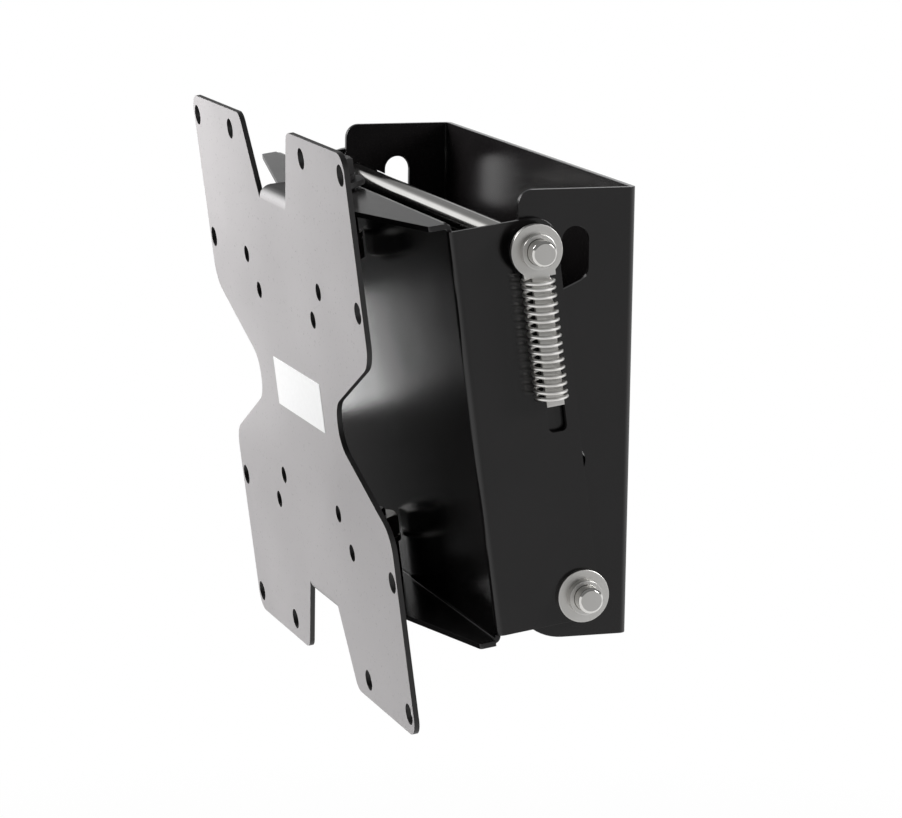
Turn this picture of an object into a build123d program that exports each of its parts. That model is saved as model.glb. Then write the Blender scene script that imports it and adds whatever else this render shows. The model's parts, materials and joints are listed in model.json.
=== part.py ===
from build123d import *
import os
from math import cos, pi, radians, sin, tan

os.makedirs("parts", exist_ok=True)

# A wall mount for a flat screen, in three folded sheets.
# A channel is screwed to the wall. A second channel hangs on a rod between its cheeks
# and tilts. A cut-out screen plate turns on two bolts at the top and bottom of that.
# X runs along the wall, -Y points into the room and Z is up. The origin is the centre
# of the wall channel's back face. All lengths are millimetres.

# Sheet metal
SHEET = 2.0
BEND_R = 1.0
CHEEK_GAP = 1.0

# Wall channel, folded forward at its two sides
WALL_WIDTH = 215.0
WALL_OVER_LATCH = 18.7
WALL_UNDER_PIVOT = 16.1
WALL_DEPTH = 45.3
WALL_TOP_R = 5.5
WALL_FOOT_R = 20.0
SCREW_HOLE_D = 9.0
SCREW_SPAN_X = 150.0
SCREW_SPAN_Z = 60.0
CENTRE_SPAN_Z = 120.0
PLAIN_HOLE_D = 11.0
PLAIN_HOLE_Y = -23.2
PLAIN_HOLE_Z = -17.0

# The nose round the front notch of each wall cheek
NOSE_WALL = 3.45
NOSE_OVER_ROD = 9.1
NOSE_HEIGHT = 46.0
NOSE_SLOPE = 5.0
NOSE_R = 2.0

# Tilt: the rest pose leans the screen forward, on the front notch
PIVOT_Y = -19.0
TILT_DEG = 8.1
ROD_D = 9.5
ROD_CHAMFER = 0.8
PIVOT_ROD_END = 5.4
LATCH_ROD_END = 5.8
RUNNING = 0.05
SLIDING = 0.2
BODY_GAP = 0.3
FACE_GAP = 0.1

# Latch rod, in the tilt channel's own frame: up from the pivot, and forward of it
LATCH_UP = 130.2
LATCH_FORWARD = 4.3
LATCH_TRAVEL = 10.2
NOTCH_PLAY = 0.45
POCKET_FLOOR_DEG = 24.5
POCKET_CORNER_R = 3.0

# Tilt channel
TILT_FRONT = 33.7
TILT_REAR = -6.4
CHEEK_OVER_LATCH = 10.6
TILT_CHEEK_FOOT = -9.1
TILT_CHEEK_TOP_R = 9.0
TILT_CHEEK_FOOT_R = 6.0
ARM_OVER_LATCH = 14.0
ARM_UNDER_PIVOT = 12.4
ARM_TIP = 40.8
ARM_PEAK = 62.2
ARM_TIP_R = 1.5
ARM_PEAK_R = 25.0

# Spring seat lanced out of each tilt cheek
WINDOW_REAR = -1.8
WINDOW_WIDTH = 7.1
WINDOW_TOP = 73.5
WINDOW_HEIGHT = 11.5
WINDOW_R = 2.0
LUG_REACH = 5.2

# Screen plate
PLATE_FRONT = 67.7
SIDE_MARGIN = 5.5
END_MARGIN = 8.0
PLATE_CORNER_R = 7.0
PLATE_SIDE_R = 12.0
WAIST_HALF_WIDTH = 53.0
WAIST_R = 11.0
WAIST_FLAT = 0.9
FLANK_DEG = 24.6
MOUTH_HALF_WIDTH = 33.2
MOUTH_R = 6.0
MOUTH_FLOOR_R = 1.5
TAB_HALF_WIDTH = 18.0
TAB_END_R = 13.0
TAB_BEND_R = 3.0
SCREEN_GRID = 200.0
INNER_GRID = 100.0
SMALL_GRID = 75.0
OUTER_HOLE_D = 8.0
INNER_HOLE_D = 6.6

# Swivel bolts
SWIVEL_FORWARD = 44.0
BOLT_D = 10.0
HEX_FLATS = 17.0
HEX_CHAMFER = 1.3
HEAD_HEIGHT = 6.4
NUT_HEIGHT = 8.4
BOLT_END = 2.6
HUB_D = 17.0
HUB_LENGTH = 15.2
SWIVEL_WASHER_D = 19.5
WASHER = 2.0

# Discs on the pivot rod
PIVOT_WASHER_D = 19.6
COLLAR_D = 12.8
COLLAR_LENGTH = 2.9
NYLON_D = 18.0

# Latch eyes and their springs
BUSH_D = 15.5
BUSH_LENGTH = 5.5
EYE_D = 19.4
NECK_WIDTH = 12.0
NECK_LENGTH = 9.5
STRAP_WIDTH = 6.7
STRAP_FORWARD = 4.0
STRAP_END = 73.3
SPRING_D = 12.6
WIRE_D = 1.4
SPRING_FORWARD = 5.0
SPRING_TURNS = 16
SPRING_END_TURNS = 1.0
SPRING_END_PITCH = 1.5
SPRING_SIDES = 10
WIRE_SIDES = 6

# Places that follow from the sizes above
wall_height = WALL_UNDER_PIVOT + LATCH_UP + WALL_OVER_LATCH
pivot_z = WALL_UNDER_PIVOT - wall_height / 2
arm_half_height = (ARM_UNDER_PIVOT + LATCH_UP + ARM_OVER_LATCH) / 2
arm_middle = arm_half_height - ARM_UNDER_PIVOT
tilt_cheek_top = LATCH_UP + CHEEK_OVER_LATCH
shoulder = LATCH_UP - NECK_LENGTH
wall_cheek_x = WALL_WIDTH / 2
tilt_cheek_x = wall_cheek_x + CHEEK_GAP + SHEET
rod_hole_r = ROD_D / 2 + RUNNING
notch_r = ROD_D / 2 + NOTCH_PLAY
ramp_r = ROD_D / 2 + SLIDING
arm_x = tilt_cheek_x + BUSH_LENGTH
tab_half_height = arm_half_height + CHEEK_GAP + SHEET
lug_top = WINDOW_TOP + SHEET
plate_half_width = SCREEN_GRID / 2 + SIDE_MARGIN
plate_half_height = SCREEN_GRID / 2 + END_MARGIN


# One frame holds all that tilts: drawn upright about the pivot, then leaned forward.
LEAN = Pos(0, PIVOT_Y, pivot_z) * Rot(TILT_DEG, 0, 0)


def save(node, shape):
    export_step(shape, f"parts/{node}.step")


def mirrored(shape):
    """The same piece on the left side."""
    return mirror(shape, about=Plane.YZ)


def save_pair(name, shape):
    """Write a right-hand piece and its mirror image."""
    save(f"{name}_right", LEAN * shape)
    save(f"{name}_left", LEAN * mirrored(shape))


def across(sketch, half_width):
    """Cut or fill through the whole width, from a sketch of Y and Z."""
    return extrude(Plane.YZ * sketch, half_width, both=True)


def side_disc(diameter, x, length, up=0.0, forward=0.0, bore_r=0.0):
    """A disc on a rod at the right-hand side, from x outwards."""
    ring = Circle(diameter / 2)
    if bore_r:
        ring -= Circle(bore_r)
    return extrude(Plane((x, -forward, up), x_dir=(0, 1, 0), z_dir=(1, 0, 0)) * ring, length)


def rod(end_x, up=0.0, forward=0.0):
    """A rod across the mount with chamfered ends."""
    bar = extrude(Plane((0, -forward, up), z_dir=(1, 0, 0)) * Circle(ROD_D / 2), end_x, both=True)
    ends = bar.edges().filter_by(GeomType.CIRCLE)
    return chamfer(ends, ROD_CHAMFER)


def latch_rod_at(lean_deg, drop):
    """Y and Z of the latch rod for a lean of the tilt channel and a drop of the latch."""
    up = LATCH_UP - drop
    lean = radians(lean_deg)
    y = PIVOT_Y - up * sin(lean) - LATCH_FORWARD * cos(lean)
    z = pivot_z + up * cos(lean) - LATCH_FORWARD * sin(lean)
    return (y, z)


# Wall channel


def latch_cut():
    """Two notches, the ramp between them and the open pocket below, in Y and Z."""
    front = latch_rod_at(TILT_DEG, 0)
    middle = latch_rod_at(TILT_DEG / 2, LATCH_TRAVEL / 2)
    rear_low = latch_rod_at(0, LATCH_TRAVEL)
    rear_high = latch_rod_at(0, 0)
    slope = radians(POCKET_FLOOR_DEG)
    floor_rear = (rear_low[0] + notch_r * sin(slope), rear_low[1] - notch_r * cos(slope))
    front_y = front[0] - ramp_r
    floor_drop = (floor_rear[0] - front_y) * sin(slope) / cos(slope)
    floor_front = (front_y, floor_rear[1] - floor_drop)
    pocket = make_face(Polyline(front, (front_y, front[1]), floor_front, floor_rear, rear_low, close=True))
    corner = pocket.vertices().sort_by(Axis.Y)[0]
    pocket = fillet(corner, POCKET_CORNER_R)
    ramp = SlotArc(ThreePointArc(front, middle, rear_low), 2 * ramp_r)
    notch = Pos(rear_low[0], (rear_low[1] + rear_high[1]) / 2) * SlotCenterToCenter(
        rear_high[1] - rear_low[1], 2 * notch_r, rotation=90
    )
    return pocket + ramp + notch


def wall_cheek_outline():
    """The side view of the wall channel, in Y and Z."""
    front = -WALL_DEPTH
    half = wall_height / 2
    notch_y, notch_z = latch_rod_at(TILT_DEG, 0)
    nose = notch_y - ramp_r - NOSE_WALL
    nose_top = notch_z + NOSE_OVER_ROD
    nose_foot = nose_top - NOSE_HEIGHT
    plate = make_face(Polyline((0, -half), (front, -half), (front, half), (0, half), close=True))
    corners = plate.vertices().group_by(Axis.X)[0].sort_by(Axis.Y)
    plate = fillet(corners[0], WALL_FOOT_R)
    plate = fillet(plate.vertices().group_by(Axis.X)[0].sort_by(Axis.Y)[-1], WALL_TOP_R)
    bump = make_face(
        Polyline(
            (front + SHEET, nose_top),
            (front, nose_top),
            (nose, nose_top - NOSE_SLOPE),
            (nose, nose_foot + NOSE_SLOPE),
            (front, nose_foot),
            (front + SHEET, nose_foot),
            close=True,
        )
    )
    bump = fillet(bump.vertices().group_by(Axis.X)[0], NOSE_R)
    return plate + bump


def wall_bracket():
    mid_x = wall_cheek_x - SHEET / 2
    outline = wall_cheek_outline()
    depth = SHEET - outline.bounding_box().min.X
    path = FilletPolyline(
        (-mid_x, -depth),
        (-mid_x, -SHEET / 2),
        (mid_x, -SHEET / 2),
        (mid_x, -depth),
        radius=BEND_R + SHEET / 2,
    )
    channel = extrude(trace(path, SHEET), wall_height / 2, both=True)
    channel &= across(outline, WALL_WIDTH)
    channel -= across(latch_cut(), WALL_WIDTH)
    channel -= across(Pos(PIVOT_Y, pivot_z) * Circle(rod_hole_r), WALL_WIDTH)
    channel -= across(Pos(PLAIN_HOLE_Y, PLAIN_HOLE_Z) * Circle(PLAIN_HOLE_D / 2), WALL_WIDTH)
    screw_hole = Circle(SCREW_HOLE_D / 2)
    holes = Sketch() + GridLocations(SCREW_SPAN_X, SCREW_SPAN_Z, 2, 2) * screw_hole
    holes += GridLocations(0, CENTRE_SPAN_Z, 1, 2) * screw_hole
    return channel - extrude(Plane.XZ * holes, WALL_DEPTH / 2, both=True)


# Tilt channel


def tilt_cheek_outline():
    """Side view of the tilt channel's cheeks, in -forward and up."""
    height = tilt_cheek_top - TILT_CHEEK_FOOT
    depth = TILT_FRONT - TILT_REAR
    middle = Pos(-(TILT_FRONT + TILT_REAR) / 2, (tilt_cheek_top + TILT_CHEEK_FOOT) / 2)
    plate = middle * Rectangle(depth, height)
    plate = fillet(plate.vertices().group_by(Axis.X)[-1].sort_by(Axis.Y)[-1], TILT_CHEEK_TOP_R)
    return fillet(plate.vertices().group_by(Axis.X)[-1].sort_by(Axis.Y)[0], TILT_CHEEK_FOOT_R)


def arm_outline():
    """Top view of the tilt channel's forward flanges: a wedge that lets the plate swing."""
    rear = -TILT_FRONT + SHEET
    root = -TILT_FRONT - BEND_R
    flat_x = tilt_cheek_x - SHEET - BEND_R
    wedge = make_face(
        Polyline(
            (-flat_x, rear),
            (flat_x, rear),
            (flat_x, root),
            (tilt_cheek_x, root),
            (tilt_cheek_x, -ARM_TIP),
            (0, -ARM_PEAK),
            (-tilt_cheek_x, -ARM_TIP),
            (-tilt_cheek_x, root),
            (-flat_x, root),
            close=True,
        )
    )
    tips = wedge.vertices().group_by(Axis.Y)[1]
    wedge = fillet(tips, ARM_TIP_R)
    peak = wedge.vertices().sort_by(Axis.Y)[0]
    return fillet(peak, ARM_PEAK_R)


def flanged_web(half_height, web_forward, flange_end, bend_r):
    """A web with a flange at its top and bottom, in -forward and up, as one folded sheet."""
    top = arm_middle + half_height - SHEET / 2
    foot = arm_middle - half_height + SHEET / 2
    path = FilletPolyline(
        (-flange_end, foot),
        (-web_forward, foot),
        (-web_forward, top),
        (-flange_end, top),
        radius=bend_r + SHEET / 2,
    )
    return trace(path, SHEET)


def spring_seat():
    """The lug that each latch spring stands on, at the right-hand side."""
    inside = tilt_cheek_x - SHEET
    tip = tilt_cheek_x + LUG_REACH
    middle_y = -(WINDOW_REAR + WINDOW_WIDTH / 2)
    return Pos((inside + tip) / 2, middle_y, WINDOW_TOP + SHEET / 2) * Box(tip - inside, WINDOW_WIDTH, SHEET)


def window():
    """The opening below each lug, with its lower corners rounded."""
    middle_y = -(WINDOW_REAR + WINDOW_WIDTH / 2)
    hole = Pos(middle_y, WINDOW_TOP - WINDOW_HEIGHT / 2) * Rectangle(WINDOW_WIDTH, WINDOW_HEIGHT)
    return fillet(hole.vertices().group_by(Axis.Y)[0], WINDOW_R)


def tilt_bracket():
    mid_x = tilt_cheek_x - SHEET / 2
    path = FilletPolyline(
        (-mid_x, -TILT_REAR),
        (-mid_x, -TILT_FRONT + SHEET / 2),
        (mid_x, -TILT_FRONT + SHEET / 2),
        (mid_x, -TILT_REAR),
        radius=BEND_R + SHEET / 2,
    )
    height = arm_half_height * 2
    cheeks = Pos(0, 0, arm_middle) * extrude(trace(path, SHEET), height / 2, both=True)
    cheeks &= across(tilt_cheek_outline(), WALL_WIDTH)
    arms = across(flanged_web(arm_half_height, TILT_FRONT - SHEET / 2, PLATE_FRONT, BEND_R), tilt_cheek_x)
    arms &= Pos(0, 0, arm_middle) * extrude(arm_outline(), height, both=True)
    bracket = cheeks + arms
    rod_slot = Pos(-LATCH_FORWARD, LATCH_UP - LATCH_TRAVEL / 2) * SlotCenterToCenter(
        LATCH_TRAVEL + 2 * SLIDING, ROD_D + 2 * SLIDING, rotation=90
    )
    bracket -= across(Circle(rod_hole_r), WALL_WIDTH)
    bracket -= across(rod_slot, WALL_WIDTH)
    bracket -= across(window(), WALL_WIDTH)
    bolt_hole = Pos(0, -SWIVEL_FORWARD) * Circle(BOLT_D / 2 + RUNNING)
    bracket -= Pos(0, 0, arm_middle) * extrude(bolt_hole, height, both=True)
    return bracket + spring_seat() + mirrored(spring_seat())


# Screen plate


def plate_outline():
    """Four lobes joined by a waist, with a mouth at the top and bottom, in X and up."""
    floor = tab_half_height - SHEET - TAB_BEND_R
    flank = radians(FLANK_DEG)
    waist_top = WAIST_FLAT / 2 + WAIST_R * tan(pi / 4 - flank / 2)
    side_end = waist_top + (plate_half_width - WAIST_HALF_WIDTH) * tan(flank)
    quarter = FilletPolyline(
        (0, floor),
        (TAB_HALF_WIDTH, floor),
        (MOUTH_HALF_WIDTH, plate_half_height),
        (plate_half_width, plate_half_height),
        (plate_half_width, side_end),
        (WAIST_HALF_WIDTH, waist_top),
        (WAIST_HALF_WIDTH, 0),
        radius=[MOUTH_FLOOR_R, MOUTH_R, PLATE_CORNER_R, PLATE_SIDE_R, WAIST_R],
    )
    half = Curve() + quarter + mirror(quarter, about=Plane.YZ)
    return make_face(half + mirror(half, about=Plane.XZ))


def screen_holes():
    """The screen's screw grids, in X and up."""
    wide = GridLocations(SCREEN_GRID, INNER_GRID, 2, 2)
    tall = GridLocations(INNER_GRID, SCREEN_GRID, 2, 2)
    outer = Circle(OUTER_HOLE_D / 2)
    inner = Circle(INNER_HOLE_D / 2)
    holes = Sketch() + GridLocations(SCREEN_GRID, SCREEN_GRID, 2, 2) * outer
    holes += wide * outer
    holes += tall * outer
    holes += GridLocations(INNER_GRID, INNER_GRID, 2, 2) * inner
    return holes + GridLocations(SMALL_GRID, SMALL_GRID, 2, 2) * inner


def tab_outline():
    """Top view of the tabs: as wide as the mouth's floor, round about the swivel bolt."""
    root_depth = 2 * (SHEET + TAB_BEND_R)
    root = Pos(0, -PLATE_FRONT) * Rectangle(2 * TAB_HALF_WIDTH, root_depth)
    end = Pos(0, -SWIVEL_FORWARD) * Circle(TAB_END_R)
    return make_hull(root.edges() + end.edges())


def vesa_plate():
    face = plate_outline() - screen_holes()
    front = Plane((0, -PLATE_FRONT, arm_middle), x_dir=(1, 0, 0), z_dir=(0, -1, 0))
    plate = extrude(front * face, -SHEET)
    tab_end = SWIVEL_FORWARD - TAB_END_R - SHEET
    tabs = across(
        flanged_web(tab_half_height, PLATE_FRONT - SHEET / 2, tab_end, TAB_BEND_R), TAB_HALF_WIDTH
    )
    tabs &= Pos(0, 0, arm_middle) * extrude(tab_outline(), tab_half_height, both=True)
    bolt_hole = Pos(0, -SWIVEL_FORWARD) * Circle(BOLT_D / 2 + RUNNING)
    tabs -= Pos(0, 0, arm_middle) * extrude(bolt_hole, 2 * tab_half_height, both=True)
    return plate + tabs


# Swivel hardware: drawn at the top, upward from the middle, and mirrored to the bottom


def swivel_disc(diameter, low, height):
    """A round piece of the swivel stack, from low upwards, with the bolt's bore."""
    ring = Circle(diameter / 2) - Circle(BOLT_D / 2 + RUNNING)
    return Pos(0, -SWIVEL_FORWARD, arm_middle + low) * extrude(ring, height)


def hexagon(low, height, faces):
    """A hexagonal prism with the corners turned off at its upper end, or at both."""
    prism = extrude(RegularPolygon(HEX_FLATS / 2, 6, major_radius=False), height)
    corner_r = HEX_FLATS / 2 / cos(pi / 6)
    turned = extrude(Circle(corner_r), height)
    rims = turned.faces().filter_by(Axis.Z).sort_by(Axis.Z)[-faces:].edges()
    turned = chamfer(rims, HEX_CHAMFER / 2, HEX_CHAMFER)
    return Pos(0, -SWIVEL_FORWARD, arm_middle + low) * (prism & turned)


def swivel_stack():
    """Each piece by its name, with its place measured up from the plate's middle."""
    under_arm = arm_half_height - SHEET
    washer_top = under_arm - HUB_LENGTH
    nut_top = washer_top - WASHER
    nut_low = nut_top - NUT_HEIGHT
    head_low = tab_half_height + FACE_GAP + WASHER
    shank_low = nut_low - BOLT_END
    shank = extrude(Circle(BOLT_D / 2), head_low - shank_low)
    shank = Pos(0, -SWIVEL_FORWARD, arm_middle + shank_low) * shank
    shank = chamfer(shank.faces().sort_by(Axis.Z)[0].edges(), ROD_CHAMFER)
    bore = Pos(0, -SWIVEL_FORWARD, arm_middle) * extrude(Circle(BOLT_D / 2 + RUNNING), head_low)
    return {
        "swivel_bolt": shank + hexagon(head_low, HEAD_HEIGHT, 1),
        "swivel_head_washer": swivel_disc(SWIVEL_WASHER_D, tab_half_height + FACE_GAP, WASHER),
        "swivel_nylon_washer": swivel_disc(NYLON_D, arm_half_height, CHEEK_GAP - FACE_GAP),
        "swivel_hub": swivel_disc(HUB_D, washer_top, HUB_LENGTH),
        "swivel_washer": swivel_disc(SWIVEL_WASHER_D, nut_top, WASHER),
        "swivel_nut": hexagon(nut_low, NUT_HEIGHT, 2) - bore,
    }


# Latch


def latch_eye():
    """A flat link: a ring on the rod, a neck, and a strap that runs down inside the spring."""
    ring = Pos(-LATCH_FORWARD, LATCH_UP) * Circle(EYE_D / 2)
    neck_top = (-LATCH_FORWARD, LATCH_UP)
    neck = Pos(neck_top[0], (LATCH_UP + shoulder) / 2) * Rectangle(NECK_WIDTH, LATCH_UP - shoulder)
    strap = Pos(-STRAP_FORWARD, (LATCH_UP + STRAP_END) / 2) * Rectangle(STRAP_WIDTH, LATCH_UP - STRAP_END)
    face = ring + neck + strap - Pos(-LATCH_FORWARD, LATCH_UP) * Circle(rod_hole_r)
    return Pos(arm_x, 0, 0) * extrude(Plane.YZ * face, SHEET)


def coil_height(turn, height):
    """How far up the spring a turn has climbed: close at both ends, open between."""
    open_turns = SPRING_TURNS - 2 * SPRING_END_TURNS
    end_height = SPRING_END_TURNS * SPRING_END_PITCH
    open_pitch = (height - 2 * end_height) / open_turns
    low_end = min(turn, SPRING_END_TURNS)
    opened = min(max(turn - SPRING_END_TURNS, 0), open_turns)
    high_end = max(turn - SPRING_END_TURNS - open_turns, 0)
    return SPRING_END_PITCH * (low_end + high_end) + open_pitch * opened


def latch_spring():
    """A compression spring round the strap, from the lug up to the eye's shoulders.

    Its wire starts on the side of the cheek and climbs clockwise, seen from above.
    """
    foot = lug_top + WIRE_D / 2
    height = shoulder - WIRE_D / 2 - foot
    mean_r = (SPRING_D - WIRE_D) / 2
    points = []
    for step in range(SPRING_TURNS * SPRING_SIDES + 1):
        turn = step / SPRING_SIDES
        angle = pi - 2 * pi * turn
        points.append((mean_r * cos(angle), mean_r * sin(angle), coil_height(turn, height)))
    path = Polyline(*points)
    wire = Plane(path @ 0, z_dir=path % 0) * RegularPolygon(WIRE_D / 2, WIRE_SIDES)
    coil = sweep(wire, path=path, transition=Transition.RIGHT)
    return Pos(arm_x + SHEET / 2, -SPRING_FORWARD, foot) * coil


def build():
    save("wall_bracket", wall_bracket())
    save("tilt_bracket", LEAN * tilt_bracket())
    save("vesa_plate", LEAN * vesa_plate())

    washer_x = tilt_cheek_x
    collar_x = washer_x + WASHER
    save("pivot_rod", LEAN * rod(collar_x + COLLAR_LENGTH + PIVOT_ROD_END))
    nylon_x = wall_cheek_x + FACE_GAP
    save_pair("pivot_washer", side_disc(PIVOT_WASHER_D, washer_x, WASHER, bore_r=rod_hole_r))
    save_pair("pivot_collar", side_disc(COLLAR_D, collar_x, COLLAR_LENGTH, bore_r=rod_hole_r))
    save_pair("pivot_nylon_washer", side_disc(NYLON_D, nylon_x, CHEEK_GAP - FACE_GAP, bore_r=rod_hole_r))

    place = {"up": LATCH_UP, "forward": LATCH_FORWARD, "bore_r": rod_hole_r}
    eye_face = arm_x + SHEET
    save("latch_rod", LEAN * rod(eye_face + COLLAR_LENGTH + LATCH_ROD_END, LATCH_UP, LATCH_FORWARD))
    save_pair("latch_bush", side_disc(BUSH_D, tilt_cheek_x + BODY_GAP, BUSH_LENGTH - BODY_GAP, **place))
    save_pair("latch_eye", latch_eye())
    save_pair("latch_collar", side_disc(COLLAR_D, eye_face, COLLAR_LENGTH, **place))
    save_pair("latch_spring", latch_spring())

    middle = Plane((0, 0, arm_middle), z_dir=(0, 0, 1))
    for name, piece in swivel_stack().items():
        save(f"{name}_top", LEAN * piece)
        save(f"{name}_bottom", LEAN * mirror(piece, about=middle))


build()
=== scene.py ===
# %% [markdown]
# # A wall mount for a flat screen
# The mount has three folded steel sheets. A channel is screwed to the wall, a second
# channel hangs on a rod and tilts, and a cut-out screen plate turns on two bolts.
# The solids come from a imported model, in metres, and are never moved here. This lesson
# gives each of them its edges and its finish, winds the springs, lays a blank label on
# the plate and lights the whole as a product photograph.

import json
from math import cos, pi, radians, sin

import bmesh
import bpy
from mathutils import Matrix, Vector


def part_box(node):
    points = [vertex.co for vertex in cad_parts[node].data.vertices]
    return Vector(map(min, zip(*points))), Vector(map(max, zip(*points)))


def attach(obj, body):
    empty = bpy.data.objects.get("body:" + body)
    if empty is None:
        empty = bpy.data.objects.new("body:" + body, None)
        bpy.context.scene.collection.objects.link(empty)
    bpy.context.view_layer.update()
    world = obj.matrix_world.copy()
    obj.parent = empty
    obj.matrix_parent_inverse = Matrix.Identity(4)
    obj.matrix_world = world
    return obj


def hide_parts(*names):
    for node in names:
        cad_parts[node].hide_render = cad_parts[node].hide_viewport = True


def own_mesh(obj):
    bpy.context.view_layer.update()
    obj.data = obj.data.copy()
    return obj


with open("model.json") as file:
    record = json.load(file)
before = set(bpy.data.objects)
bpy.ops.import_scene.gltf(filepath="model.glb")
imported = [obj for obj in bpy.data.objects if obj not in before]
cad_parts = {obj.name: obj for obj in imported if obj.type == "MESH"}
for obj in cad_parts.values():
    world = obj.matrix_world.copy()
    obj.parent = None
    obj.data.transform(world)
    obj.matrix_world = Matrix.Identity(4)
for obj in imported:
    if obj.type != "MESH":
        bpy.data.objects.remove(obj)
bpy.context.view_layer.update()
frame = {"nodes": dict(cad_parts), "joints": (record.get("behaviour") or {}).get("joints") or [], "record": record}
MM = 0.001
print("pieces in the packed model:", len(frame["nodes"]))

# %% [markdown]
# Everything that tilts was drawn upright and then leaned forward about the lower rod.
# So it helps to have that frame here too: `across` runs along the wall, `up` runs along
# the tilting channel and `forward` points from it to the screen. The joints in the
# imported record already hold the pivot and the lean, so no size is typed twice.

# %% The leaning frame
joints = {joint["name"]: joint for joint in frame["joints"]}
PIVOT = Vector(joints["tilt"]["pos_m"])
ACROSS = Vector((1, 0, 0))
UP = Vector(joints["swivel"]["axis"]).normalized()
FORWARD = ACROSS.cross(UP).normalized()


def leaned(across, up, forward):
    """A point in the shared frame from millimetres in the leaning frame."""
    return PIVOT + (ACROSS * across + UP * up + FORWARD * forward) * MM


LEANED = Matrix((ACROSS, UP, FORWARD)).transposed().to_4x4()
print("up", tuple(round(v, 4) for v in UP), "forward", tuple(round(v, 4) for v in FORWARD))

# %% [markdown]
# ## The camera
# The photograph was taken from far off to the right with a long lens, so the lines of
# the mount hardly converge. The place, the turn and the lens below were fitted to the
# screw holes of the plate and the corners of the sheets.

# %% Place the camera
IMAGE_WIDTH = 902
SENSOR = 36.0
FOCAL_PIXELS = 3755.7
CAMERA_PLACE = Vector((1359.9, -486.9, 252.5)) * MM
YAW = radians(71.564)
PITCH = radians(10.649)
ROLL = radians(0.877)

looking = Vector((-sin(YAW) * cos(PITCH), cos(YAW) * cos(PITCH), -sin(PITCH)))
level = Vector((cos(YAW), sin(YAW), 0))
raised = level.cross(looking)
right = cos(ROLL) * level + sin(ROLL) * raised
top = -sin(ROLL) * level + cos(ROLL) * raised

lens = bpy.data.cameras.new("camera")
lens.sensor_width = SENSOR
lens.lens = FOCAL_PIXELS * SENSOR / IMAGE_WIDTH
lens.clip_start = 0.05
lens.clip_end = 100
camera = bpy.data.objects.new("camera", lens)
turn = Matrix((right, top, -looking)).transposed().to_4x4()
camera.matrix_world = Matrix.Translation(CAMERA_PLACE) @ turn
bpy.context.scene.collection.objects.link(camera)
bpy.context.scene.camera = camera
print("lens", round(lens.lens, 1), "mm")

# %% [markdown]
# ## The studio
# The photograph has a pure white ground, and that white must not come from more light,
# because the black paint would turn grey. So the world is white to the camera, and its
# share as a lamp is set apart. Satin paint also shows the room in its gloss. Here that
# is a white band along the horizon, higher in front than behind, a dim ceiling over it,
# a dim side to the right and a dark corner low on the left. The dark cheeks, the soft
# light on the tilting channel and the bands on the rods come from that.

# %% The world
bpy.context.scene.view_settings.view_transform = "Standard"
FILL = 0.12
BACKDROP_TOP = (0.11, 0.21)
FRONT_TOP = (0.27, 0.34)
FRONT = (-0.17, 0.03)
CEILING = 0.22
ROOM_START = (0.35, 0.85)
ROOM_LOW = (-0.185, -0.10)
LOW_SHARE = 0.08
LOW_SIDE = (-0.80, -0.20)
ROOM_SIDE = 0.52


def math_node(nodes, links, operation, first, second):
    """One arithmetic step on two values or sockets."""
    step = nodes.new("ShaderNodeMath")
    step.operation = operation
    for socket, value in zip(step.inputs, (first, second)):
        if isinstance(value, (int, float)):
            socket.default_value = value
        else:
            links.new(value, socket)
    return step.outputs[0]


def ramp(nodes, links, value, start, end, low, high):
    """Lead a value from one span to another, and hold it at both ends."""
    span = nodes.new("ShaderNodeMapRange")
    names = ("From Min", "From Max", "To Min", "To Max")
    for name, number in zip(names, (start, end, low, high)):
        if isinstance(number, (int, float)):
            span.inputs[name].default_value = number
        else:
            links.new(number, span.inputs[name])
    links.new(value, span.inputs["Value"])
    return span.outputs["Result"]


def ray_kinds(nodes, links):
    """Two sockets: 1 for the camera's rays, and 1 for rays that gloss or glass sends on."""
    path = nodes.new("ShaderNodeLightPath")
    gloss, glass = path.outputs["Is Glossy Ray"], path.outputs["Is Transmission Ray"]
    return path.outputs["Is Camera Ray"], math_node(nodes, links, "MAXIMUM", gloss, glass)


def make_world():
    """White to the camera, a plain fill to the object, and a room to its gloss."""
    world = bpy.data.worlds.new("studio")
    world.use_nodes = True
    nodes, links = world.node_tree.nodes, world.node_tree.links
    background = nodes["Background"]
    background.inputs["Color"].default_value = (1, 1, 1, 1)
    direction = nodes.new("ShaderNodeSeparateXYZ")
    links.new(nodes.new("ShaderNodeTexCoord").outputs["Generated"], direction.inputs[0])
    along_x, along_y, along_z = (direction.outputs[axis] for axis in "XYZ")
    height = ramp(nodes, links, along_z, *BACKDROP_TOP, 1.0, CEILING)
    front_height = ramp(nodes, links, along_z, *FRONT_TOP, 1.0, CEILING)
    height = ramp(nodes, links, along_y, *FRONT, front_height, height)
    side = ramp(nodes, links, along_x, *ROOM_START, 1.0, ROOM_SIDE)
    low = ramp(nodes, links, along_z, *ROOM_LOW, LOW_SHARE, 1.0)
    low = ramp(nodes, links, along_x, *LOW_SIDE, low, 1.0)
    room = math_node(nodes, links, "MULTIPLY", height, side)
    room = math_node(nodes, links, "MULTIPLY", room, low)
    seen, mirrored = ray_kinds(nodes, links)
    strength = ramp(nodes, links, mirrored, 0.0, 1.0, FILL, room)
    strength = ramp(nodes, links, seen, 0.0, 1.0, strength, 1.0)
    links.new(strength, background.inputs["Strength"])
    bpy.context.scene.world = world


make_world()
print("fill", FILL, "ceiling", CEILING, "room side", ROOM_SIDE)

# %% [markdown]
# The floor is a pale disc well below the mount. It glows white to the camera and to
# gloss, and a small share of it stays plain paper, which keeps the mount's shadow. That
# share fades out towards the rim, so the disc melts into the backdrop. The fade is
# measured from the origin of the mount, not from the middle of the disc.

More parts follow.
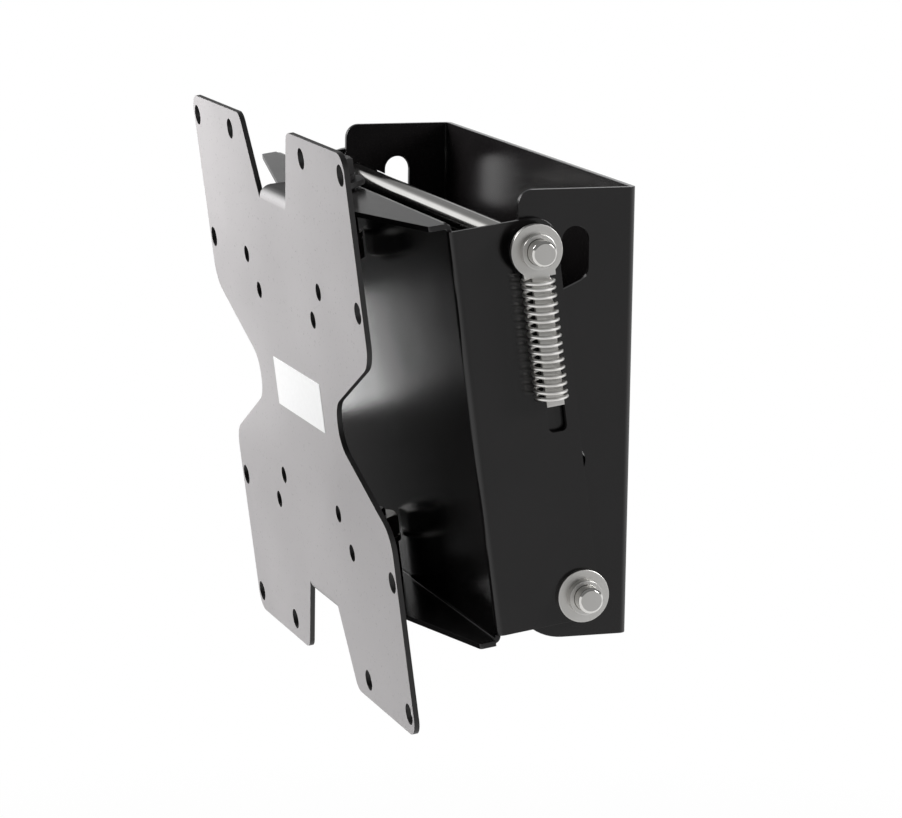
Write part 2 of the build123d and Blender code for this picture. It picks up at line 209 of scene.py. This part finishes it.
# %% The floor
FLOOR_Z = -0.42
FLOOR_R = 1.0
SHADOW_R = 0.2
SHADOW_SHARE = 0.06
FADE_START = SHADOW_R - FLOOR_Z
PAPER = 0.85


def make_floor():
    """A disc that glows white where it is seen and takes the shadow elsewhere."""
    bm = bmesh.new()
    bmesh.ops.create_circle(bm, cap_ends=True, segments=96, radius=FLOOR_R)
    bmesh.ops.translate(bm, verts=bm.verts, vec=(0, 0, FLOOR_Z))
    mesh = bpy.data.meshes.new("floor")
    bm.to_mesh(mesh)
    bm.free()
    floor = bpy.data.objects.new("floor", mesh)
    bpy.context.scene.collection.objects.link(floor)
    material = bpy.data.materials.new("floor")
    material.use_nodes = True
    nodes, links = material.node_tree.nodes, material.node_tree.links
    nodes.clear()
    paper = nodes.new("ShaderNodeBsdfDiffuse")
    paper.inputs["Color"].default_value = (PAPER, PAPER, PAPER, 1)
    glow = nodes.new("ShaderNodeEmission")
    away = nodes.new("ShaderNodeVectorMath")
    away.operation = "LENGTH"
    links.new(nodes.new("ShaderNodeTexCoord").outputs["Object"], away.inputs[0])
    fade = away.outputs["Value"]
    glow_share = ramp(nodes, links, fade, FADE_START, FLOOR_R, 1 - SHADOW_SHARE, 1.0)
    seen, mirrored = ray_kinds(nodes, links)
    white = math_node(nodes, links, "MAXIMUM", seen, mirrored)
    mix = nodes.new("ShaderNodeMixShader")
    out = nodes.new("ShaderNodeOutputMaterial")
    links.new(math_node(nodes, links, "MULTIPLY", white, glow_share), mix.inputs["Fac"])
    links.new(paper.outputs[0], mix.inputs[1])
    links.new(glow.outputs[0], mix.inputs[2])
    links.new(mix.outputs[0], out.inputs["Surface"])
    mesh.materials.append(material)


make_floor()
print("floor at", FLOOR_Z, "radius", FLOOR_R)

# %% [markdown]
# The face of the plate is lightest at its upper left and fades to the lower right, so
# the main lamp stands close to it on that side. The shadows of the discs on the cheek
# fall to the left, so a second lamp stands far off to the right, behind the mount. The
# tilting channel shows one soft bright patch beside the waist of the plate. A small lamp
# close by, low on the left, makes it: it stands where the coat mirrors the camera to.

# %% Lamps
def panel(name, place, aim, width, height, watts):
    """A soft rectangular lamp at a place, turned to face a point."""
    lamp = bpy.data.lights.new(name, "AREA")
    lamp.shape = "RECTANGLE"
    lamp.size = width
    lamp.size_y = height
    lamp.energy = watts
    holder = bpy.data.objects.new(name, lamp)
    place, aim = Vector(place), Vector(aim)
    turn = (aim - place).to_track_quat("-Z", "Y").to_matrix().to_4x4()
    holder.matrix_world = Matrix.Translation(place) @ turn
    holder.visible_camera = False
    bpy.context.scene.collection.objects.link(holder)


PLATE_MIDDLE = (0, -0.09, 0)
MOUNT_MIDDLE = (0, -0.05, 0)
WEB_SPOT = (-0.03, -0.055, 0.003)
panel("plate_panel", (-0.40, -0.52, 0.33), PLATE_MIDDLE, width=0.4, height=0.4, watts=6.9)
panel("low_card", (-0.237, -0.104, -0.050), WEB_SPOT, width=0.03, height=0.05, watts=0.012)
panel("rear_right_panel", (1.0, 1.0, 0.55), MOUNT_MIDDLE, width=0.5, height=0.5, watts=10)

# %% [markdown]
# ## Materials
# Every finish is worked out from the object's own coordinates, in metres, so it stays
# on the steel from any side. A painted picture could do it too, but it would need a flat
# map of every folded sheet. A noise of 1700 waves to the metre has grains of 0.6 mm,
# which is about the grain of a powder coat. Noise keeps near its middle, so its usual
# span is stretched before it drives a colour or a gloss.

# %% Helpers for materials
NOISE_SPAN = (0.3, 0.7)
GRAIN_SCALE = 1700


def start_material(name, **sockets):
    """A new material with its shader's own sockets set."""
    material = bpy.data.materials.new(name)
    material.use_nodes = True
    shader = material.node_tree.nodes["Principled BSDF"]
    for socket, value in sockets.items():
        shader.inputs[socket.replace("_", " ")].default_value = value
    return material, material.node_tree.nodes, material.node_tree.links, shader


def grey(level, tint=(1.0, 1.0, 1.0)):
    """A colour of one level, slightly tinted."""
    return (level * tint[0], level * tint[1], level * tint[2], 1)


def noise(nodes, links, scale, detail=2.0, stretch=(1, 1, 1)):
    """Noise on the object's own coordinates."""
    place = nodes.new("ShaderNodeTexCoord")
    mapping = nodes.new("ShaderNodeMapping")
    mapping.inputs["Scale"].default_value = stretch
    texture = nodes.new("ShaderNodeTexNoise")
    texture.inputs["Scale"].default_value = scale
    texture.inputs["Detail"].default_value = detail
    links.new(place.outputs["Object"], mapping.inputs["Vector"])
    links.new(mapping.outputs["Vector"], texture.inputs["Vector"])
    return texture.outputs["Fac"]


def spread(nodes, links, value, low, high, span=NOISE_SPAN):
    """Stretch a noise from its usual span to the span that a socket needs."""
    return ramp(nodes, links, value, *span, low, high)


def blend_colours(nodes, links, value, first, second):
    """First colour where the value is 0, second where it is 1.

    A Mix node has sockets for numbers, vectors and colours. Its colours go in at 6 and 7
    and come out at 2.
    """
    mix = nodes.new("ShaderNodeMix")
    mix.data_type = "RGBA"
    links.new(value, mix.inputs["Factor"])
    for socket, colour in ((mix.inputs[6], first), (mix.inputs[7], second)):
        if isinstance(colour, tuple):
            socket.default_value = colour
        else:
            links.new(colour, socket)
    return mix.outputs[2]


def bump(nodes, links, shader, value, height, strength):
    """Raise the surface by a height in metres where the value is 1."""
    relief = nodes.new("ShaderNodeBump")
    relief.inputs["Distance"].default_value = height
    relief.inputs["Strength"].default_value = strength
    links.new(value, relief.inputs["Height"])
    links.new(relief.outputs["Normal"], shader.inputs["Normal"])


print("material helpers ready")

# %% [markdown]
# Black powder coat is sprayed on as dust and baked. It sets satin, with a fine grain
# like orange peel and slow changes of gloss where the coat is thicker. So the colour is
# nearly black and the look comes from the gloss: one slow noise moves the roughness
# over a narrow span, and a fine one raises the grain. The bolts, hubs and bushes have
# the same coat, a little duller.

# %% Black powder coat
COAT_LEVEL = 0.008
COAT_TINT = (1.08, 0.97, 1.0)
COAT_DRIFT = (0.85, 1.2)
CLOUD_SCALE = 22
COAT_ROUGH = (0.15, 0.20)
FITTING_LEVEL = 0.012
FITTING_ROUGH = (0.29, 0.36)
COAT_GRAIN = 0.00004


def powder_coat(name, level, rough):
    """Nearly black paint whose colour and gloss drift slowly, with a fine grain."""
    material, nodes, links, shader = start_material(name)
    clouds = noise(nodes, links, CLOUD_SCALE, detail=3)
    thin, thick = (grey(level * share, COAT_TINT) for share in COAT_DRIFT)
    shade = blend_colours(nodes, links, spread(nodes, links, clouds, 0, 1), thin, thick)
    links.new(shade, shader.inputs["Base Color"])
    links.new(spread(nodes, links, clouds, *rough), shader.inputs["Roughness"])
    bump(nodes, links, shader, noise(nodes, links, GRAIN_SCALE), COAT_GRAIN, strength=0.5)
    return material


black_coat = powder_coat("black_powder_coat", COAT_LEVEL, COAT_ROUGH)
black_fitting = powder_coat("black_fitting", FITTING_LEVEL, FITTING_ROUGH)
print(black_coat.name, black_fitting.name)

# %% [markdown]
# The screen plate is black satin coat. The pale grey on its face is a painted reflection,
# the glare of the bright front, with faint, fine specks of dust in it. Its edges, its back
# and the walls of its holes are black, and on the folded tabs the painted grey fades out
# round the bend. The mesh carries a value called `painted_glare_share` that says how far a
# corner of it faces the screen, and the material mixes by that. Two materials on one mesh
# would give a hard line instead of the fade.

# %% Painted grey glare on the face of the screen plate
# Grey level of the painted glare, a painted reflection of the bright front on the black coat.
GLARE_LEVEL = 0.44
GLARE_TINT = (1.02, 0.985, 0.995)
GLARE_DRIFT = (0.95, 1.05)
FACE_ROUGH = (0.42, 0.54)
FACE_CLOUD_SCALE = 14
FACE_GRAIN = 0.00003
SPECK_SCALE = 900
SPECK_SPAN = (0.68, 0.74)
SPECK_SHARE = 0.72


def plate_coat_and_glare():
    """Painted grey glare with specks of dust where the mesh faces the screen, and black elsewhere."""
    material, nodes, links, shader = start_material("plate_coat_and_glare")
    facing = nodes.new("ShaderNodeAttribute")
    facing.attribute_name = "painted_glare_share"
    clouds = noise(nodes, links, FACE_CLOUD_SCALE, detail=4)
    thin, thick = (grey(GLARE_LEVEL * share, GLARE_TINT) for share in GLARE_DRIFT)
    face = blend_colours(nodes, links, spread(nodes, links, clouds, 0, 1), thin, thick)
    specks = spread(nodes, links, noise(nodes, links, SPECK_SCALE, detail=1), 0, 1, SPECK_SPAN)
    face = blend_colours(nodes, links, specks, face, grey(GLARE_LEVEL * SPECK_SHARE, GLARE_TINT))
    # Painted reflection: grey glare where the mesh faces the screen, black coat elsewhere.
    shade = blend_colours(nodes, links, facing.outputs["Fac"], grey(COAT_LEVEL, COAT_TINT), face)
    links.new(shade, shader.inputs["Base Color"])
    links.new(spread(nodes, links, clouds, *FACE_ROUGH), shader.inputs["Roughness"])
    bump(nodes, links, shader, noise(nodes, links, GRAIN_SCALE), FACE_GRAIN, strength=0.4)
    return material


plate_with_glare = plate_coat_and_glare()
print(plate_with_glare.name)

# %% [markdown]
# The two rods are ground steel, so their fine scratches run round them: the noise is
# squeezed along the rod, where a larger number packs it closer. Washers, collars, eyes
# and wire are duller zinc. Full metal gets all its light from what it mirrors, so the
# bands on the rods are the room's.

# %% Bright steel
PATCH_SCALE = 60
SCRATCH_SCALE = 900
ZINC_DEPTH = 0.000004
GROUND_DEPTH = 0.0000005
ROD_STRETCH = (4, 0.3, 0.3)
DISC_STRETCH = (0.4, 2, 2)
WORN_SHARE = 0.92
WORN_TINT = (1.0, 0.985, 0.95)
CLEAN_TINT = (1.0, 0.99, 0.965)


def bright_steel(name, level, rough, scratch=(1, 1, 1), depth=ZINC_DEPTH):
    """Bare metal with worn patches, and scratches that lie as the noise is stretched."""
    material, nodes, links, shader = start_material(name, Metallic=1.0)
    patches = noise(nodes, links, PATCH_SCALE, detail=3)
    lines = noise(nodes, links, SCRATCH_SCALE, stretch=scratch)
    worn, clean = grey(level * WORN_SHARE, WORN_TINT), grey(level, CLEAN_TINT)
    shade = blend_colours(nodes, links, spread(nodes, links, patches, 0, 1), worn, clean)
    links.new(shade, shader.inputs["Base Color"])
    links.new(spread(nodes, links, lines, *rough), shader.inputs["Roughness"])
    bump(nodes, links, shader, lines, depth, strength=0.6)
    return material


rod_steel = bright_steel(
    "ground_rod", 0.72, rough=(0.08, 0.15), scratch=ROD_STRETCH, depth=GROUND_DEPTH
)
washer_steel = bright_steel("zinc_washer", 0.66, rough=(0.29, 0.38), scratch=DISC_STRETCH)
wire_steel = bright_steel("spring_wire", 0.88, rough=(0.30, 0.38))
print(rod_steel.name, washer_steel.name, wire_steel.name)

# %% [markdown]
# Nylon washers are moulded dark and dull. The label is bright, smooth paper. Both are
# plain, so a slight change of colour keeps them from looking like flat paint.

# %% Nylon and label
NYLON_LEVELS = (0.02, 0.03)
LABEL_LEVELS = (0.94, 0.98)
PAPER_GRAIN = 0.00001


def nylon():
    """Dark moulded plastic."""
    material, nodes, links, shader = start_material("dark_nylon", Roughness=0.5)
    shade = spread(nodes, links, noise(nodes, links, scale=120), 0, 1)
    colour = blend_colours(nodes, links, shade, *map(grey, NYLON_LEVELS))
    links.new(colour, shader.inputs["Base Color"])
    return material


def blank_label():
    """White paper with a very fine grain."""
    material, nodes, links, shader = start_material("blank_label", Roughness=0.45)
    shade = spread(nodes, links, noise(nodes, links, scale=500, detail=3), 0, 1)
    colour = blend_colours(nodes, links, shade, *map(grey, LABEL_LEVELS))
    links.new(colour, shader.inputs["Base Color"])
    bump(nodes, links, shader, noise(nodes, links, scale=1200), PAPER_GRAIN, strength=0.4)
    return material


dark_nylon = nylon()
label_white = blank_label()
print(dark_nylon.name, label_white.name)

# %% [markdown]
# ## Edges
# A cut sheet never has a perfectly sharp edge, and a coat rounds it further. A copy of
# each solid is merged, cleared of the lines across its flat faces and bevelled by a
# few tenths of a millimetre. The bevel catches the light, which is what makes an edge
# read as metal. A Bevel modifier would round it too, but only on a mesh that is merged
# and cleared, so all three are done in one bmesh. Large faces then weigh more in the
# shading, so the narrow ones at an edge don't bend the light on the flat ones. The copy
# stands for the solid it was made from.

# %% Ease the edges of a solid
SHARP = radians(28)
MERGE = 0.001 * MM
FLAT = radians(0.5)
EDGE_SEGMENTS = 2


def eased(node, width):
    """A copy of a solid's mesh with its sharp edges rounded off."""
    bm = bmesh.new()
    bm.from_mesh(frame["nodes"][node].data)
    bmesh.ops.remove_doubles(bm, verts=bm.verts, dist=MERGE)
    bmesh.ops.dissolve_limit(bm, angle_limit=FLAT, verts=bm.verts, edges=bm.edges)
    folds = [edge for edge in bm.edges if len(edge.link_faces) == 2]
    edges = [edge for edge in folds if edge.calc_face_angle() > SHARP]
    bmesh.ops.bevel(
        bm,
        geom=edges,
        offset=width * MM,
        offset_type="OFFSET",
        segments=EDGE_SEGMENTS,
        profile=0.5,
        affect="EDGES",
        material=-1,
        clamp_overlap=True,
    )
    return bm


def finish_piece(bm, name, body, material, node=None):
    """Turn a mesh under construction into a piece that rides on a body."""
    mesh = bpy.data.meshes.new(name)
    bm.to_mesh(mesh)
    bm.free()
    mesh.materials.append(material)
    mesh.polygons.foreach_set("use_smooth", [True] * len(mesh.polygons))
    mesh.set_sharp_from_angle(angle=SHARP)
    piece = bpy.data.objects.new(name, mesh)
    bpy.context.scene.collection.objects.link(piece)
    even = piece.modifiers.new("even_faces", "WEIGHTED_NORMAL")
    even.mode = "FACE_AREA"
    even.keep_sharp = True
    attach(piece, body)
    if node:
        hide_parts(node)
    return piece


def body_of(node):
    """The body that a node belongs to."""
    for body, members in frame["record"]["behaviour"]["bodies"].items():
        if node in members:
            return body
    return None


FINISH = {
    "black_steel": black_coat,
    "black_fittings": black_fitting,
    "bright_steel": washer_steel,
    "spring_steel": wire_steel,
    "nylon": dark_nylon,
    "plate_steel": plate_with_glare,
}
SLOT = {row["node"]: row["material_slot"] for row in frame["record"]["subparts"]}


def dress(node, width, material=None):
    """Stand an eased copy of a node in its place."""
    slot = SLOT[node]
    return finish_piece(
        eased(node, width), f"{node}_dressed", body_of(node), material or FINISH[slot], node
    )


SHEET_EDGE = 0.3
for node in ("wall_bracket", "tilt_bracket"):
    piece = dress(node, SHEET_EDGE)
    print(piece.name, len(piece.data.polygons), "faces")

# %% [markdown]
# ## The screen plate
# It gets the same easing. Then each corner of the mesh is told how far it faces the
# screen, from its normal: 1 on the flat front, 0 on the edges and the back, and in
# between round the bends of the two tabs. That share lays on the painted grey glare.

# %% Screen plate
EDGE_FACING = 0.55
FULL_FACING = 0.97


def dress_plate():
    """The eased plate, with its corners told how far they face the screen."""
    bm = eased("vesa_plate", SHEET_EDGE)
    bm.normal_update()
    layer = bm.verts.layers.float.new("painted_glare_share")
    # Painted reflection: the more a corner faces the screen, the more grey glare it gets.
    for vert in bm.verts:
        facing = vert.normal.dot(FORWARD)
        share = (facing - EDGE_FACING) / (FULL_FACING - EDGE_FACING)
        vert[layer] = min(max(share, 0), 1)
    return finish_piece(bm, "screen_plate", "swivel", plate_with_glare, "vesa_plate")


screen_plate = dress_plate()
print(screen_plate.name, len(screen_plate.data.polygons), "faces")

# %% [markdown]
# ## Rods, discs and bolts
# They are turned or stamped pieces, so their own solids have the right shape, and only
# their edges need easing. The rods are ground bright, and the washers are zinc.

# %% Small pieces
SMALL_EDGE = 0.2
for node in sorted(frame["nodes"]):
    if node in ("wall_bracket", "tilt_bracket", "vesa_plate") or "spring" in node:
        continue
    dress(node, SMALL_EDGE, rod_steel if node.endswith("_rod") else None)
print("small pieces dressed")

# %% [markdown]
# ## The latch springs
# A spring is one wire wound on a helix, with its last turn at each end laid close
# so that it stands flat. A bevelled curve could draw it, but Blender's spin operator
# winds it as the shop does: it turns a small circle round the spring's axis and lifts
# it a little at each step. Three spins in a row give the close start, the open middle
# and the close end. Sizes here are in millimetres. When the latch drops, its rod presses
# the spring onto its lug.

# %% Wind the springs
WIRE = 1.4
COIL_R = 5.6
TURNS = 16
END_TURNS = 1
END_PITCH = 1.5
STEPS = 28
WIRE_SIDES = 10
SPRING_FOOT = 75.5
SPRING_TOP = 120.7


def wind_spring(side, sign):
    """One coil on its lug, wound the other way on the other side."""
    node = f"latch_spring_{side}"
    low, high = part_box(node)
    middle = (low + high) / 2
    offset = middle - PIVOT
    length = (SPRING_TOP - SPRING_FOOT) * MM
    foot = PIVOT + ACROSS * offset.x + UP * SPRING_FOOT * MM + FORWARD * offset.dot(FORWARD)
    bm = bmesh.new()
    ring = bmesh.ops.create_circle(bm, cap_ends=True, segments=WIRE_SIDES, radius=WIRE / 2 * MM)
    stand = Matrix.Rotation(pi / 2, 3, "X")
    bmesh.ops.rotate(bm, verts=ring["verts"], cent=(0, 0, 0), matrix=stand)
    bmesh.ops.translate(bm, verts=ring["verts"], vec=(sign * COIL_R * MM, 0, WIRE / 2 * MM))
    close = (END_TURNS, END_TURNS * END_PITCH * MM)
    climb = length - WIRE * MM - 2 * END_TURNS * END_PITCH * MM
    tip = list(bm.faces)
    for turns, rise in (close, (TURNS - 2 * END_TURNS, climb), close):
        steps = round(turns * STEPS)
        result = bmesh.ops.spin(
            bm,
            geom=tip,
            cent=(0, 0, 0),
            axis=(0, 0, sign),
            dvec=(0, 0, rise / steps),
            angle=turns * 2 * pi,
            steps=steps,
            use_duplicate=False,
        )
        tip = [item for item in result["geom_last"] if isinstance(item, bmesh.types.BMFace)]
    bmesh.ops.recalc_face_normals(bm, faces=bm.faces)
    turn = Matrix((ACROSS, FORWARD * -1, UP)).transposed().to_4x4()
    bmesh.ops.transform(bm, matrix=Matrix.Translation(foot) @ turn, verts=bm.verts)
    piece = finish_piece(bm, f"spring_{side}", "tilt", wire_steel, node)
    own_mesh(piece)
    return piece


for side, sign in (("right", -1), ("left", 1)):
    spring = wind_spring(side, sign)
    print(spring.name, len(spring.data.polygons), "faces")

# %% [markdown]
# ## The blank label
# The photograph has a plain white rectangle on the face of the plate. It is a thin
# label with nothing on it, a little off the middle. It could be a patch in the plate's
# material, but a real label has a thickness and round corners, so it is a thin block.

# %% Label
LABEL_LEFT, LABEL_RIGHT = -29.4, 34.1
LABEL_LOW, LABEL_HIGH = -6.8, 12.2
LABEL_THICK = 0.12
LABEL_CORNER = 0.4
PLATE_MIDDLE_UP = 65.9
PLATE_FRONT = 67.7


def make_label():
    """A thin block with round corners, laid on the face of the plate."""
    bm = bmesh.new()
    bmesh.ops.create_cube(bm, size=1)
    size = Vector((LABEL_RIGHT - LABEL_LEFT, LABEL_HIGH - LABEL_LOW, LABEL_THICK)) * MM
    bmesh.ops.scale(bm, vec=size, verts=bm.verts)
    upright = LABEL_THICK / 2 * MM
    corners = [edge for edge in bm.edges if abs(edge.verts[0].co.z - edge.verts[1].co.z) > upright]
    bmesh.ops.bevel(
        bm,
        geom=corners,
        offset=LABEL_CORNER * MM,
        offset_type="OFFSET",
        segments=4,
        profile=0.5,
        affect="EDGES",
        material=-1,
    )
    centre = leaned(
        across=(LABEL_LEFT + LABEL_RIGHT) / 2,
        up=PLATE_MIDDLE_UP + (LABEL_LOW + LABEL_HIGH) / 2,
        forward=PLATE_FRONT + LABEL_THICK / 2,
    )
    bmesh.ops.transform(bm, matrix=Matrix.Translation(centre) @ LEANED, verts=bm.verts)
    bmesh.ops.recalc_face_normals(bm, faces=bm.faces)
    return finish_piece(bm, "blank_label", "swivel", label_white)


label = make_label()
print(label.name)
